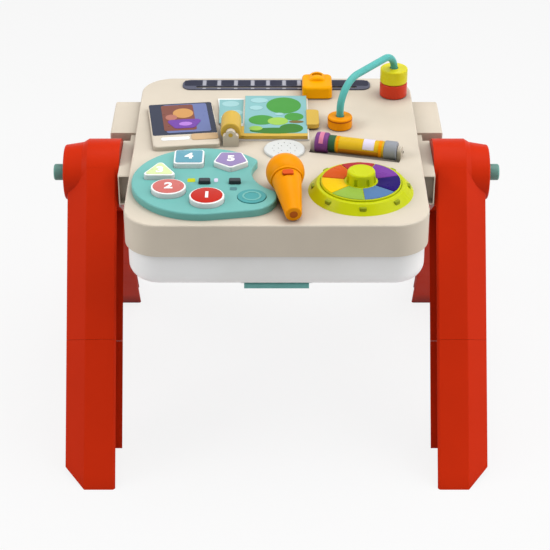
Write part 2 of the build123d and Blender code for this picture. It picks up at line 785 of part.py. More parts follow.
def bend(start, radius, side):
    """Quarter turn of the arch in its own plane, from upright to level."""
    x, z = start
    half = radius * math.sqrt(0.5)
    middle = (x + side * (radius - half), 0, z + half)
    return Edge.make_three_point_arc((x, 0, z), middle, (x + side * radius, 0, z + radius))


def wire_nuts():
    nuts = []
    for spot in (WIRE_BASE_FRONT, WIRE_BASE_REAR):
        nut = upright(spot, NUT_R, SKIN_Z - NUT_H, SKIN_Z)
        nuts.append(nut - upright(spot, WIRE_R + RUN_GAP, SKIN_Z - NUT_H, SKIN_Z))
    return Compound(children=nuts)


def bead(spot, radius, low, height):
    body = fillet(upright(spot, radius, low, low + height).edges(), BEAD_EDGE_R)
    return body - upright(spot, BEAD_BORE_R, low, low + height)


def bead_low_z():
    return TOP_Z + SLIDE_GAP


def bead_orange():
    return bead(WIRE_BASE_FRONT, FRONT_BEAD_R, bead_low_z(), FRONT_BEAD_H)


def bead_red():
    return bead(WIRE_BASE_REAR, REAR_BEAD_R, bead_low_z(), REAR_BEAD_H)


def bead_green():
    return bead(WIRE_BASE_REAR, REAR_BEAD_R, bead_low_z() + REAR_BEAD_H + SLIDE_GAP, REAR_BEAD_H)


# Slider

def slider_slot():
    return Pos(0, SLOT_Y) * SlotOverall(SLOT_LENGTH, SLOT_W)


def slider_track():
    strip = Pos(0, TRACK_Y) * RectangleRounded(TRACK_LENGTH, TRACK_D, TRACK_CORNER_R)
    return slab(strip - slider_slot(), TOP_Z, TOP_Z + TRACK_T)


def slider_knob():
    low = TOP_Z + TRACK_T + SLIDE_GAP
    half = SLIDER_W / 2
    knob = block(SLIDER_X - half, SLIDER_X + half, SLIDER_FRONT_Y, SLIDER_REAR_Y, low, low + SLIDER_H)
    knob = fillet(knob.edges().filter_by(Axis.Z), SLIDER_CORNER_R)
    knob = soften_top(knob, SLIDER_EDGE_R)
    ridge_top = low + SLIDER_H + RIDGE_RISE
    ridge = along_y(RIDGE_R, RIDGE_FRONT_Y, RIDGE_REAR_Y, SLIDER_X, ridge_top - RIDGE_R)
    ridge = fillet(ridge.edges(), RIDGE_EDGE_R)
    knob += ridge - block(-FAR, FAR, -FAR, FAR, -FAR, low + OVERLAP)
    grip_x = SLIDER_X - GRIP_W / 2
    grip_y = GRIP_FRONT_Y + GRIP_D
    knob -= block(grip_x, grip_x + GRIP_W, GRIP_FRONT_Y, grip_y, ridge_top - GRIP_DEPTH, ridge_top)
    return knob + upright((SLIDER_X, SLOT_Y), slider_neck_r(), SKIN_Z - NECK_REACH, low + OVERLAP)


def slider_neck_r():
    return SLOT_W / 2 - SLIDE_GAP


def slider_shoe():
    shoe = Pos(SLIDER_X, SLOT_Y) * RectangleRounded(SHOE_W, SHOE_D, SHOE_CORNER_R)
    shoe_top = SKIN_Z - SLIDE_GAP
    solid = slab(shoe, shoe_top - SHOE_H, shoe_top)
    return solid - upright((SLIDER_X, SLOT_Y), slider_neck_r() + RUN_GAP, SKIN_Z - NECK_REACH, SKIN_Z)


# Tablet

def at_tablet():
    return Pos(*TABLET_CENTRE, 0) * Rot(0, 0, TABLET_TURN)


def screen_sketch(grow):
    width = SCREEN_W + 2 * grow
    depth = SCREEN_D + 2 * grow
    return Pos(0, SCREEN_SHIFT) * RectangleRounded(width, depth, SCREEN_CORNER_R + grow)


def tablet_case():
    case = slab(RectangleRounded(TABLET_W, TABLET_D, TABLET_CORNER_R), TOP_Z, TOP_Z + TABLET_H)
    case = soften_top(case, TABLET_EDGE_R)
    case -= slab(screen_sketch(SCREEN_GAP), TOP_Z + TABLET_H - SCREEN_T, TOP_Z + TABLET_H)
    return at_tablet() * case


def tablet_screen():
    low = TOP_Z + TABLET_H - SCREEN_T
    return at_tablet() * slab(screen_sketch(0), low, low + SCREEN_T)


# Picture page

def picture_base():
    return slab(make_face(Polyline(*BASE_CORNERS, close=True)), TOP_Z, TOP_Z + BASE_T)


def page_frame():
    page_top = PAGE_Z + PAGE_T
    page = block(PAGE_LEFT_X, PAGE_RIGHT_X, PAGE_FRONT_Y, PAGE_REAR_Y, PAGE_Z, page_top)
    tab_x = PAGE_RIGHT_X - OVERLAP
    tab = block(tab_x, PAGE_RIGHT_X + TAB_LENGTH, TAB_FRONT_Y, TAB_REAR_Y, PAGE_Z, page_top + TAB_RISE)
    tab = fillet(tab.edges().filter_by(Axis.Z).sort_by(Axis.X)[-2:], TAB_CORNER_R)
    web_x = PAGE_LEFT_X + OVERLAP
    web = block(BARREL_X, web_x, PAGE_WEB_FRONT_Y, PAGE_WEB_REAR_Y, PAGE_Z, page_top)
    barrel = along_y(BARREL_R, BARREL_FRONT_Y, BARREL_REAR_Y, BARREL_X, BARREL_Z)
    barrel = fillet(barrel.edges(), BARREL_EDGE_R)
    pin_reach = BRACKET_T + SLIDE_GAP
    pins = along_y(BARREL_PIN_R, BARREL_FRONT_Y - pin_reach, BARREL_REAR_Y + pin_reach, BARREL_X, BARREL_Z)
    frame = page + tab + web + barrel + pins
    return frame - picture_block(RUN_GAP, page_top - PICTURE_T)


def picture_block(grow, low):
    x0 = PAGE_LEFT_X + PICTURE_NARROW_MARGIN - grow
    x1 = PAGE_RIGHT_X - PICTURE_NARROW_MARGIN + grow
    y0 = PAGE_FRONT_Y + PICTURE_MARGIN - grow
    y1 = PAGE_REAR_Y - PICTURE_NARROW_MARGIN + grow
    return block(x0, x1, y0, y1, low, PAGE_Z + PAGE_T)


def page_picture():
    return picture_block(0, PAGE_Z + PAGE_T - PICTURE_T)


def hinge_brackets():
    front = BARREL_FRONT_Y - SLIDE_GAP
    rear = BARREL_REAR_Y + SLIDE_GAP
    pair = [
        hinge_bracket(front - BRACKET_T, front, TOP_Z),
        hinge_bracket(rear, rear + BRACKET_T, TOP_Z + BASE_T),
    ]
    return Compound(children=pair)


def hinge_bracket(y0, y1, low):
    half = BRACKET_W / 2
    bracket = block(BARREL_X - half, BARREL_X + half, y0, y1, low, BARREL_Z)
    bracket = fillet(bracket.edges().filter_by(Axis.Y).group_by(Axis.Z)[-1], BRACKET_EDGE_R)
    bracket += along_y(BRACKET_EYE_R, y0, y1, BARREL_X, BARREL_Z)
    return bracket - along_y(BARREL_PIN_R + RUN_GAP, y0, y1, BARREL_X, BARREL_Z)


# Microphone

def mic_plane():
    """Plane square to the microphone's axis, its Z towards the tip and its Y towards the sky."""
    axis = (MIC_TIP - MIC_HEAD_CENTRE).normalized()
    side = axis.cross(Vector(0, 0, 1)).normalized()
    return Plane(origin=MIC_HEAD_CENTRE, x_dir=side, z_dir=axis)


def mic_length():
    return (MIC_TIP - MIC_HEAD_CENTRE).length


def mic_head():
    ball = Sphere(MIC_HEAD_R) - Sphere(MIC_HEAD_R - MIC_WALL)
    beyond = Pos(0, 0, MIC_NECK_AT + MIC_HEAD_R) * Box(FAR, FAR, 2 * MIC_HEAD_R)
    return mic_plane().location * (ball - beyond)


def mic_taper(radius_loss, start, end):
    slope = (MIC_TIP_R - MIC_NECK_R) / (mic_length() - MIC_NECK_AT)
    r0 = MIC_NECK_R + slope * (start - MIC_NECK_AT) - radius_loss
    r1 = MIC_NECK_R + slope * (end - MIC_NECK_AT) - radius_loss
    return Pos(0, 0, (start + end) / 2) * Cone(r0, r1, end - start)


def mic_handle():
    length = mic_length()
    handle = mic_taper(0, MIC_NECK_AT, length)
    handle = fillet(handle.faces().sort_by(Axis.Z)[-1].edges(), MIC_TIP_EDGE_R)
    handle -= mic_taper(MIC_WALL, MIC_NECK_AT, length - MIC_END_WALL)
    handle -= button_prism(MIC_BUTTON_GAP, 0, FAR)
    return mic_plane().location * handle


def button_prism(grow, low, high):
    """Button outline on the upper side of the handle, in the microphone's own frame."""
    outline = RectangleRounded(MIC_BUTTON_W + 2 * grow, MIC_BUTTON_L + 2 * grow, MIC_BUTTON_CORNER_R)
    prism = extrude(outline, amount=high - low)
    return Pos(0, mic_up() * low, MIC_BUTTON_AT) * Rot(-90 * mic_up(), 0, 0) * prism


def mic_up():
    """Sign of the sky side along the microphone plane's Y."""
    return 1 if mic_plane().y_dir.Z > 0 else -1


def mic_button():
    return mic_plane().location * button_prism(0, MIC_BUTTON_FOOT, MIC_BUTTON_TOP)


# Side frames

def leg_plane(distance):
    """Plane square to the front right leg: X as the table's, Y into the leg, Z up along it."""
    lean = math.radians(LEG_LEAN)
    up = Vector(0, math.sin(lean), math.cos(lean))
    return Plane(origin=Vector(0, -FOOT_Y, 0) + up * distance, x_dir=(1, 0, 0), z_dir=up)


def leg_section(inset):
    """Leg outline in the leg plane; a hollow, moved inwards by inset, also stays clear of the groove."""
    slope = math.atan2(LEG_CHAMFER_DEPTH, LEG_OUTER_X - LEG_CHAMFER_X)
    shift = inset * math.tan(slope / 2)
    drop = inset * math.tan((math.pi / 2 - slope) / 2)
    inner_x = LEG_INNER_X
    inner_front = [(LEG_INNER_X, LEG_SETBACK), (LEG_INNER_X + LEG_SETBACK, 0)]
    if inset > 0:
        inner_x = LEG_INNER_X + GROOVE_DEPTH + inset
        inner_front = [(inner_x, inset)]
    points = inner_front + [
        (LEG_CHAMFER_X - shift, inset),
        (LEG_OUTER_X - inset, LEG_CHAMFER_DEPTH + drop),
        (LEG_OUTER_X - inset, LEG_DEPTH - inset),
        (inner_x, LEG_DEPTH - inset),
    ]
    outline = make_face(Polyline(*points, close=True))
    return fillet(outline.vertices(), max(LEG_EDGE_R - inset, LEG_HOLLOW_EDGE_R))


def leg_prism(inset, start, end):
    return leg_plane(start).location * extrude(leg_section(inset), amount=end - start)


def hub_distance():
    lean = math.radians(LEG_LEAN)
    return FOOT_Y * math.sin(lean) + HUB_Z * math.cos(lean)


def leg_groove(start, end):
    """Groove with a middle rib along the inner side of the front right leg."""
    groove = Pos(LEG_INNER_X, LEG_DEPTH / 2) * Rectangle(2 * GROOVE_DEPTH, LEG_DEPTH - 2 * LEG_WALL)
    rib = Pos(LEG_INNER_X + GROOVE_DEPTH, LEG_DEPTH / 2) * Rectangle(2 * GROOVE_RIB_H, LEG_WALL)
    return leg_plane(start).location * extrude(groove - rib, amount=end - start)


def both_sides(front):
    """A shape of the front leg together with its twin on the rear leg."""
    return front + mirror(front, about=Plane.XZ)


def hub_solid(inset):
    """Round hub with a tapered outer part, moved inwards by inset."""
    profile = [
        (HUB_INNER_X + inset, 0),
        (HUB_INNER_X + inset, HUB_R - inset),
        (HUB_STEP_X, HUB_R - inset),
        (HUB_TAPER_X, HUB_TAPER_R - inset),
        (HUB_OUTER_X - inset, HUB_OUTER_R - inset),
        (HUB_OUTER_X - inset, 0),
    ]
    hub = revolve(Plane.XZ * make_face(Polyline(*profile, close=True)), Axis.X)
    if inset == 0:
        hub = fillet(hub.faces().sort_by(Axis.X)[-1].edges(), LEG_EDGE_R)
    return Pos(0, 0, HUB_Z) * hub


def socket_block(half, x0, x1):
    """Square bar along X on the hub's axis."""
    return block(x0, x1, -half, half, HUB_Z - half, HUB_Z + half)


def frame_right():
    start = SEAM_AT + SEAM_GAP
    leg_end = hub_distance() - HUB_R
    frame = both_sides(leg_prism(0, start, hub_distance())) + hub_solid(0)
    frame -= both_sides(leg_prism(LEG_WALL, start, leg_end))
    frame -= both_sides(leg_groove(start, leg_end - GROOVE_END))
    frame -= hub_solid(HUB_WALL)
    socket = PLUG_W / 2 + SLIDE_GAP
    frame += socket_block(socket + SOCKET_WALL, HUB_INNER_X, SOCKET_END_X)
    frame -= socket_block(socket, HUB_INNER_X, SOCKET_END_X - SOCKET_WALL)
    frame -= along_x(BUTTON_R + SLIDE_GAP, HUB_OUTER_X - 2 * HUB_WALL, HUB_OUTER_X, 0, HUB_Z)
    return frame


def foot_cut(inset):
    """Wedge that takes off the outer lower corner of a foot, its slope moved inwards by inset."""
    run = LEG_OUTER_X - LEG_CHAMFER_X
    slope = math.atan2(FOOT_CUT_H, run)
    start_x = LEG_CHAMFER_X - inset / math.sin(slope)
    end_x = LEG_OUTER_X + run
    end_z = (end_x - start_x) * math.tan(slope)
    outline = Polyline((start_x, 0), (end_x, 0), (end_x, end_z), close=True)
    return extrude(Plane.XZ * make_face(outline), amount=FAR, both=True)


def lower_leg_front_right():
    leg = leg_prism(0, -LEG_DEPTH, SEAM_AT)
    leg = leg - block(-FAR, FAR, -FAR, FAR, -FAR, 0) - foot_cut(0)
    channel = leg_prism(LEG_WALL, -LEG_DEPTH, SEAM_AT)
    channel = channel - block(-FAR, FAR, -FAR, FAR, -FAR, LEG_WALL) - foot_cut(LEG_WALL)
    leg = leg - channel - leg_groove(-LEG_DEPTH, SEAM_AT)
    neck_low = SEAM_AT - NECK_BELOW
    collar = leg_prism(LEG_WALL, neck_low, SEAM_AT)
    neck = leg_prism(LEG_WALL + SLIDE_GAP, neck_low, SEAM_AT + NECK_ABOVE)
    hollow = leg_prism(2 * LEG_WALL, neck_low, SEAM_AT + NECK_ABOVE)
    return leg + (collar + neck - hollow)


def lower_leg_rear_right():
    return mirror(lower_leg_front_right(), about=Plane.XZ)


def release_button_right():
    flange_out = HUB_OUTER_X - HUB_WALL - SLIDE_GAP
    button = along_x(BUTTON_R, BUTTON_ROOT_X, BUTTON_TIP_X, 0, HUB_Z)
    button = fillet(button.faces().sort_by(Axis.X)[-1].edges(), BUTTON_EDGE_R)
    button += along_x(BUTTON_FLANGE_R, flange_out - BUTTON_FLANGE_T, flange_out, 0, HUB_Z)
    return button - along_x(BUTTON_BORE_R, BUTTON_ROOT_X, BUTTON_BORE_END_X, 0, HUB_Z)


def release_spring_right():
    spring = along_x(SPRING_OUTER_R, SOCKET_END_X, SPRING_END_X, 0, HUB_Z)
    return spring - along_x(SPRING_INNER_R, SOCKET_END_X, SPRING_END_X, 0, HUB_Z)


def build_nodes():
    nodes = {}
    for piece in (
        top_shell, bottom_shell, case_screws, front_latch, keypad_panel, circuit_board, key_domes,
        speaker_grille, speaker, battery_box, battery_door, battery_cells, battery_contacts,
        disc_base, colour_disc, disc_knob, disc_axle,
        roller_end_left, roller_body, roller_end_right, roller_axle, roller_tray,
        maze_wire, wire_nuts, bead_orange, bead_green, bead_red,
        slider_track, slider_knob, slider_shoe, tablet_case, tablet_screen,
        picture_base, page_frame, page_picture, hinge_brackets,
        mic_head, mic_handle, mic_button,
    ):
        nodes[piece.__name__] = piece()
    for name in KEY_SPOTS:
        nodes[name] = key(name)
    for name in SWITCH_SPOTS:
        nodes[name] = slide_switch(name)
    for piece in (
        arm_right, frame_right, lower_leg_front_right, lower_leg_rear_right,
        release_button_right, release_spring_right,
    ):
        name = piece.__name__
        solid = piece()
        nodes[name] = solid
        nodes[name.replace("_right", "_left")] = mirrored(solid)
    return nodes


os.makedirs("parts", exist_ok=True)
for node_name, node_solid in build_nodes().items():
    export_step(node_solid, f"parts/{node_name}.step")
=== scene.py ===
import bpy
import bmesh
import math
from mathutils import Matrix, Vector


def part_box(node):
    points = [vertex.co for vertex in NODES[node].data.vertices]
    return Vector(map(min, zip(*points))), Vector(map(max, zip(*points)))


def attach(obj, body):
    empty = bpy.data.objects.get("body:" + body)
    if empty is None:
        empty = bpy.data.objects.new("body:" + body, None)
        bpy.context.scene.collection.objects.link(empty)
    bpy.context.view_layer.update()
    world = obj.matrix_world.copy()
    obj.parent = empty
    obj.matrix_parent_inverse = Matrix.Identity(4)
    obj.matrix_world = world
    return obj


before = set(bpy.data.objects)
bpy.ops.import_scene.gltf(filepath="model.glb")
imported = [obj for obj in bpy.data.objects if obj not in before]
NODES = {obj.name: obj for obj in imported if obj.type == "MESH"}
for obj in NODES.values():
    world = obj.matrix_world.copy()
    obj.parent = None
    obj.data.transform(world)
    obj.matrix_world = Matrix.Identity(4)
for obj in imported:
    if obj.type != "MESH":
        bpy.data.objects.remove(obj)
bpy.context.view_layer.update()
MM = 0.001

# Camera of the photograph, whose frame is square
PHOTO_PX = 550.0
FOCAL_PX = 1689.0
SENSOR_MM = 36.0
CAMERA_AT = (-0.002, -2.020, 1.374)
CAMERA_DOWN = math.radians(31.0)

# Heights and places that the CAD model sets
TABLE_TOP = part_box("top_shell")[1].z
PANEL_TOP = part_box("keypad_panel")[1].z
KEY_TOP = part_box("key_1")[1].z
DISC_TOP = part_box("colour_disc")[1].z
PRINT = 0.25 * MM
SINK = 0.1 * MM


def centre(node):
    low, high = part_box(node)
    return (low + high) / 2


# Colours and materials

def linear(r, g, b):
    """Linear colour of an 8-bit display colour."""
    def one(v):
        v /= 255.0
        return v / 12.92 if v <= 0.04045 else ((v + 0.055) / 1.055) ** 2.4
    return (one(r), one(g), one(b), 1.0)


def shaded(colour, factor):
    return tuple(min(1.0, c * factor) for c in colour[:3]) + (1.0,)


def start_material(name):
    material = bpy.data.materials.new(name)
    material.use_nodes = True
    tree = material.node_tree
    return material, tree, tree.nodes["Principled BSDF"]


def noise(tree, scale, detail):
    coords = tree.nodes.new("ShaderNodeTexCoord")
    texture = tree.nodes.new("ShaderNodeTexNoise")
    texture.inputs["Scale"].default_value = scale
    texture.inputs["Detail"].default_value = detail
    tree.links.new(coords.outputs["Object"], texture.inputs["Vector"])
    return texture.outputs["Fac"]


NOISE_LOW = 0.3
NOISE_HIGH = 0.7


def remap(tree, value, low, high):
    """Spread the middle of a noise between two values."""
    node = tree.nodes.new("ShaderNodeMapRange")
    node.inputs["From Min"].default_value = NOISE_LOW
    node.inputs["From Max"].default_value = NOISE_HIGH
    node.inputs["To Min"].default_value = low
    node.inputs["To Max"].default_value = high
    tree.links.new(value, node.inputs["Value"])
    return node.outputs["Result"]


def colour_between(tree, factor, first, second):
    mix = tree.nodes.new("ShaderNodeMix")
    mix.data_type = "RGBA"
    mix.inputs[6].default_value = first
    mix.inputs[7].default_value = second
    tree.links.new(factor, mix.inputs[0])
    return mix.outputs[2]


def add_grain(tree, bsdf, scale, strength, depth):
    """Fine moulded grain in the surface."""
    bump = tree.nodes.new("ShaderNodeBump")
    bump.inputs["Strength"].default_value = strength
    bump.inputs["Distance"].default_value = depth
    tree.links.new(noise(tree, scale, 3.0), bump.inputs["Height"])
    tree.links.new(bump.outputs["Normal"], bsdf.inputs["Normal"])


def paint_corner_shade(tree, colour, reach, dark):
    """Painted shade: darken a colour where the surface is hemmed in by others nearby."""
    corner = tree.nodes.new("ShaderNodeAmbientOcclusion")
    corner.samples = 8
    corner.inputs["Distance"].default_value = reach
    light = tree.nodes.new("ShaderNodeMapRange")
    light.inputs["To Min"].default_value = dark
    tree.links.new(corner.outputs["AO"], light.inputs["Value"])
    mix = tree.nodes.new("ShaderNodeMix")
    mix.data_type = "RGBA"
    mix.blend_type = "MULTIPLY"
    mix.inputs[0].default_value = 1.0
    tree.links.new(colour, mix.inputs[6])
    tree.links.new(light.outputs["Result"], mix.inputs[7])
    return mix.outputs[2]


CLOUD_SCALE = 9.0
GLOSS_SCALE = 55.0
GRAIN_SCALE = 1400.0
GRAIN_DEPTH = 0.05 * MM
# Reach of the painted corner shade
CORNER_SHADE_REACH = 25 * MM
COAT_ROUGH = 0.12


def plastic(name, rgb, rough=0.42, grain=0.25, cloud=0.05, coat=0.0, dark=0.5, shine=0.12):
    """Moulded plastic: cloudy colour with painted shade deepening it in corners, uneven gloss and a fine
    spark-eroded grain.
    """
    material, tree, bsdf = start_material(name)
    base = linear(*rgb)
    tone = remap(tree, noise(tree, CLOUD_SCALE, 3.0), 0.0, 1.0)
    colour = colour_between(tree, tone, shaded(base, 1.0 - cloud), shaded(base, 1.0 + cloud))
    # Painted shade: the colour darkens in corners and recesses, down to the factor dark
    colour = paint_corner_shade(tree, colour, CORNER_SHADE_REACH, dark)
    tree.links.new(colour, bsdf.inputs["Base Color"])
    gloss = remap(tree, noise(tree, GLOSS_SCALE, 4.0), rough - 0.05, rough + 0.06)
    tree.links.new(gloss, bsdf.inputs["Roughness"])
    bsdf.inputs["Specular IOR Level"].default_value = shine
    bsdf.inputs["Coat Weight"].default_value = coat
    bsdf.inputs["Coat Roughness"].default_value = COAT_ROUGH
    add_grain(tree, bsdf, GRAIN_SCALE, grain, GRAIN_DEPTH)
    return material


STREAK_SCALE = 300.0
SCRATCH_SCALE = 420.0
BRUSH_SCALE = 900.0
BRUSH_DEPTH = 0.03 * MM


def metal(name, rgb, rough):
    """Drawn steel with fine scratches along the part."""
    material, tree, bsdf = start_material(name)
    base = linear(*rgb)
    streak = remap(tree, noise(tree, STREAK_SCALE, 5.0), 0.0, 1.0)
    colour = colour_between(tree, streak, shaded(base, 0.88), shaded(base, 1.08))
    tree.links.new(colour, bsdf.inputs["Base Color"])
    gloss = remap(tree, noise(tree, SCRATCH_SCALE, 4.0), rough - 0.08, rough + 0.1)
    tree.links.new(gloss, bsdf.inputs["Roughness"])
    bsdf.inputs["Metallic"].default_value = 1.0
    add_grain(tree, bsdf, BRUSH_SCALE, 0.2, BRUSH_DEPTH)
    return material


BEIGE = plastic("beige_plastic", (216, 205, 188), rough=0.46, dark=0.42)
WHITE = plastic("white_plastic", (252, 252, 250), rough=0.46)
GRILLE = plastic("grille_plastic", (216, 218, 216), rough=0.46)
RED = plastic("red_plastic", (204, 46, 13), rough=0.40, grain=0.3, cloud=0.04, dark=0.45, shine=0.05)
# Dark red painted shade for the sheets in the leg seams
SEAM_SHADE = plastic("seam_shade_paint", (92, 16, 6), rough=0.6, shine=0.02)
TEAL = plastic("teal_plastic", (116, 184, 178), rough=0.34, coat=0.05, dark=0.9)
RELEASE_TEAL = plastic("release_teal_plastic", (108, 158, 148), rough=0.34, coat=0.05)
TEAL_DARK = plastic("teal_dark_plastic", (78, 160, 162), rough=0.36)
WIRE_TEAL = plastic("wire_teal_plastic", (92, 184, 178), rough=0.28, coat=0.06)
ORANGE = plastic("orange_plastic", (240, 150, 0), rough=0.36, dark=0.85, shine=0.08)
# Deep orange painted shade: in the bead's groove, on the slider notch's floor and in the hole at the
# microphone's tip
ORANGE_SHADE = plastic("orange_shade_paint", (186, 90, 6), rough=0.40)
SLIDER_ORANGE = plastic("slider_orange_plastic", (246, 168, 0), rough=0.36, dark=0.95, shine=0.06)
AMBER = plastic("amber_plastic", (212, 176, 76), rough=0.34, dark=0.8, shine=0.08)
LIME = plastic("lime_plastic", (196, 204, 16), rough=0.30, coat=0.03, dark=0.95, shine=0.08)
LIME_DARK = plastic("lime_dark_plastic", (146, 158, 18), rough=0.36)
BEAD_GREEN = plastic("bead_green_plastic", (222, 212, 34), rough=0.30, coat=0.04, dark=0.75)
BEAD_RED = plastic("bead_red_plastic", (212, 62, 34), rough=0.30, coat=0.04, dark=0.75)
BUTTON_RED = plastic("button_red_plastic", (214, 82, 22), rough=0.34)
NAVY = plastic("navy_print", (84, 86, 104), rough=0.40, cloud=0.08)
INK = plastic("ink_print", (30, 32, 54), rough=0.40, cloud=0.08)
DARK = plastic("dark_plastic", (58, 66, 70), rough=0.42)
PALE_PRINT = plastic("pale_print", (168, 168, 178), rough=0.45)
LILAC_PRINT = plastic("lilac_print", (222, 214, 236), rough=0.45)
TEAL_GREY = plastic("teal_grey_print", (92, 138, 142), rough=0.45)
# Orange-brown painted shade for the underside of the roller
ROLLER_SHADE = plastic("roller_shade_paint", (206, 132, 22), rough=0.36)
SCREEN = plastic("screen_gloss", (34, 42, 66), rough=0.20, grain=0.05, coat=0.10)
YELLOW = plastic("yellow_plastic", (220, 180, 38), rough=0.30, shine=0.08)
PURPLE = plastic("purple_plastic", (122, 62, 130), rough=0.30, coat=0.04)
# Pink painted highlight for the top of the roller's purple end
PINK_HIGHLIGHT = plastic("pink_highlight_paint", (214, 128, 158), rough=0.32)
BAND_GREEN = plastic("band_green_plastic", (52, 92, 62), rough=0.36)
SLATE = plastic("slate_plastic", (146, 150, 158), rough=0.36)
BOARD = plastic("board_green", (30, 92, 52), rough=0.5)
RUBBER = plastic("dome_rubber", (92, 92, 96), rough=0.8, grain=0.5)
STEEL = metal("steel", (168, 168, 172), 0.32)
KEY_RED = plastic("key_red_print", (196, 36, 18), rough=0.32, coat=0.03)
KEY_CORAL = plastic("key_coral_print", (206, 112, 106), rough=0.32, coat=0.03)
KEY_GREEN = plastic("key_green_print", (220, 234, 172), rough=0.32, coat=0.03)
KEY_BLUE = plastic("key_blue_print", (104, 162, 180), rough=0.32, coat=0.03)
KEY_VIOLET = plastic("key_violet_print", (152, 134, 182), rough=0.32, coat=0.03)

NODE_MATERIALS = {
    BEIGE: ["top_shell", "arm_left", "arm_right", "tablet_case", "roller_tray", "hinge_brackets"],
    GRILLE: ["speaker_grille"],
    WHITE: ["bottom_shell", "key_1", "key_2", "key_3", "key_4", "key_5",
            "picture_base", "battery_box", "battery_door"],
    RED: ["frame_left", "frame_right", "lower_leg_front_left", "lower_leg_front_right",
          "lower_leg_rear_left", "lower_leg_rear_right"],
    TEAL: ["keypad_panel", "front_latch"],
    RELEASE_TEAL: ["release_button_left", "release_button_right"],
    TEAL_DARK: ["flush_key"],
    WIRE_TEAL: ["maze_wire"],
    ORANGE: ["mic_head", "mic_handle", "bead_orange"],
    SLIDER_ORANGE: ["slider_knob"],
    AMBER: ["page_frame"],
    LIME: ["disc_base", "disc_knob", "colour_disc"],
    BEAD_GREEN: ["bead_green"],
    BEAD_RED: ["bead_red"],
    BUTTON_RED: ["mic_button"],
    NAVY: ["slider_track"],
    DARK: ["volume_switch", "mode_switch", "speaker", "slider_shoe"],
    SCREEN: ["tablet_screen"],
    YELLOW: ["roller_body"],
    PURPLE: ["roller_end_left"],
    SLATE: ["roller_end_right", "disc_axle"],
    STEEL: ["case_screws", "battery_cells", "battery_contacts", "roller_axle", "wire_nuts",
            "release_spring_left", "release_spring_right"],
    RUBBER: ["key_domes"],
    BOARD: ["circuit_board"],
}


def dress_nodes():
    for material, names in NODE_MATERIALS.items():
        for name in names:
            mesh = NODES[name].data
            mesh.materials.clear()
            mesh.materials.append(material)


# Mesh helpers

def add_piece(name, mesh, material, body, sharp=35.0):
    mesh.materials.append(material)
    mesh.shade_smooth()
    mesh.set_sharp_from_angle(angle=math.radians(sharp))
    piece = bpy.data.objects.new(name, mesh)
    bpy.context.scene.collection.objects.link(piece)
    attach(piece, body)
    return piece


def circle(x, y, rx, ry=None, steps=64):
    ry = rx if ry is None else ry
    turns = [2 * math.pi * i / steps for i in range(steps)]
    return [(x + rx * math.cos(t), y + ry * math.sin(t)) for t in turns]


def polygon(x, y, apothem, sides, first_degrees):
    radius = apothem / math.cos(math.pi / sides)
    turns = [math.radians(first_degrees) + 2 * math.pi * i / sides for i in range(sides)]
    return [(x + radius * math.cos(t), y + radius * math.sin(t)) for t in turns]


def rectangle(x, y, width, depth):
    w = width / 2
    d = depth / 2
    return [(x - w, y - d), (x + w, y - d), (x + w, y + d), (x - w, y + d)]


def rounded(points, radius, steps=6):
    """The same convex outline, counter-clockwise, with round corners."""
    outline = []
    count = len(points)
    for i in range(count):
        corner = Vector(points[i])
        back = (Vector(points[i - 1]) - corner).normalized()
        ahead = (Vector(points[(i + 1) % count]) - corner).normalized()
        half = back.angle(ahead) / 2
        middle = corner + (back + ahead).normalized() * (radius / math.sin(half))
        start = corner + back * (radius / math.tan(half)) - middle
        sweep = math.pi - 2 * half
        for step in range(steps + 1):
            turn = Matrix.Rotation(sweep * step / steps, 2)
            point = middle + turn @ start
            outline.append((point.x, point.y))
    return outline


def turned(points, pivot, degrees):
    turn = Matrix.Rotation(math.radians(degrees), 2)
    pivot = Vector(pivot)
    return [tuple(pivot + turn @ (Vector(p) - pivot)) for p in points]


RIM_TOLERANCE = 1e-7


def plate_mesh(name, outline, low, high, bevel):
    """Upright plate on an outline, its upper edge rounded."""
    work = bmesh.new()
    base = [work.verts.new((x, y, low)) for x, y in outline]
    floor = work.faces.new(base)
    raised = bmesh.ops.extrude_face_region(work, geom=[floor])
    top = [v for v in raised["geom"] if isinstance(v, bmesh.types.BMVert)]
    bmesh.ops.translate(work, verts=top, vec=(0, 0, high - low))
    bmesh.ops.recalc_face_normals(work, faces=work.faces)
    if bevel > 0:
        rim = [e for e in work.edges if all(v.co.z > high - RIM_TOLERANCE for v in e.verts)]
        bmesh.ops.bevel(work, geom=rim, offset=bevel, segments=3, profile=0.5, affect="EDGES")
    mesh = bpy.data.meshes.new(name)
    work.to_mesh(mesh)
    work.free()
    return mesh


def plate(name, outline, low, high, material, body, bevel=0.0):
    return add_piece(name, plate_mesh(name, outline, low, high, bevel), material, body)


def turned_mesh(name, profile, start=0.0, end=360.0, steps=64):
    """Piece turned about Z from a closed (radius, height) profile, whole or between two angles."""
    work = bmesh.new()
    whole = end - start >= 360.0
    rows = []
    for i in range(steps if whole else steps + 1):
        angle = math.radians(start + (end - start) * i / steps)
        rows.append([work.verts.new((r * math.cos(angle), r * math.sin(angle), z)) for r, z in profile])
    count = len(profile)
    for i in range(steps):
        near = rows[i]
        far = rows[(i + 1) % len(rows)]
        for k in range(count):
            n = (k + 1) % count
            work.faces.new((near[k], far[k], far[n], near[n]))
    if not whole:
        work.faces.new(rows[0])
        work.faces.new(rows[-1])
    bmesh.ops.recalc_face_normals(work, faces=work.faces)
    mesh = bpy.data.meshes.new(name)
    work.to_mesh(mesh)
    work.free()
    return mesh


def ring_profile(inner, outer, low, high, bevel):
    return [(inner, low), (outer, low), (outer, high - bevel), (outer - bevel, high),
            (inner + bevel, high), (inner, high - bevel)]


def ring(name, place, profile, material, body, slot, start=0.0, end=360.0):
    """Turned piece moved to a place: a 4 by 4 matrix."""
    mesh = turned_mesh(name, profile, start, end)
    mesh.transform(place)
    return add_piece(name, mesh, material, body)


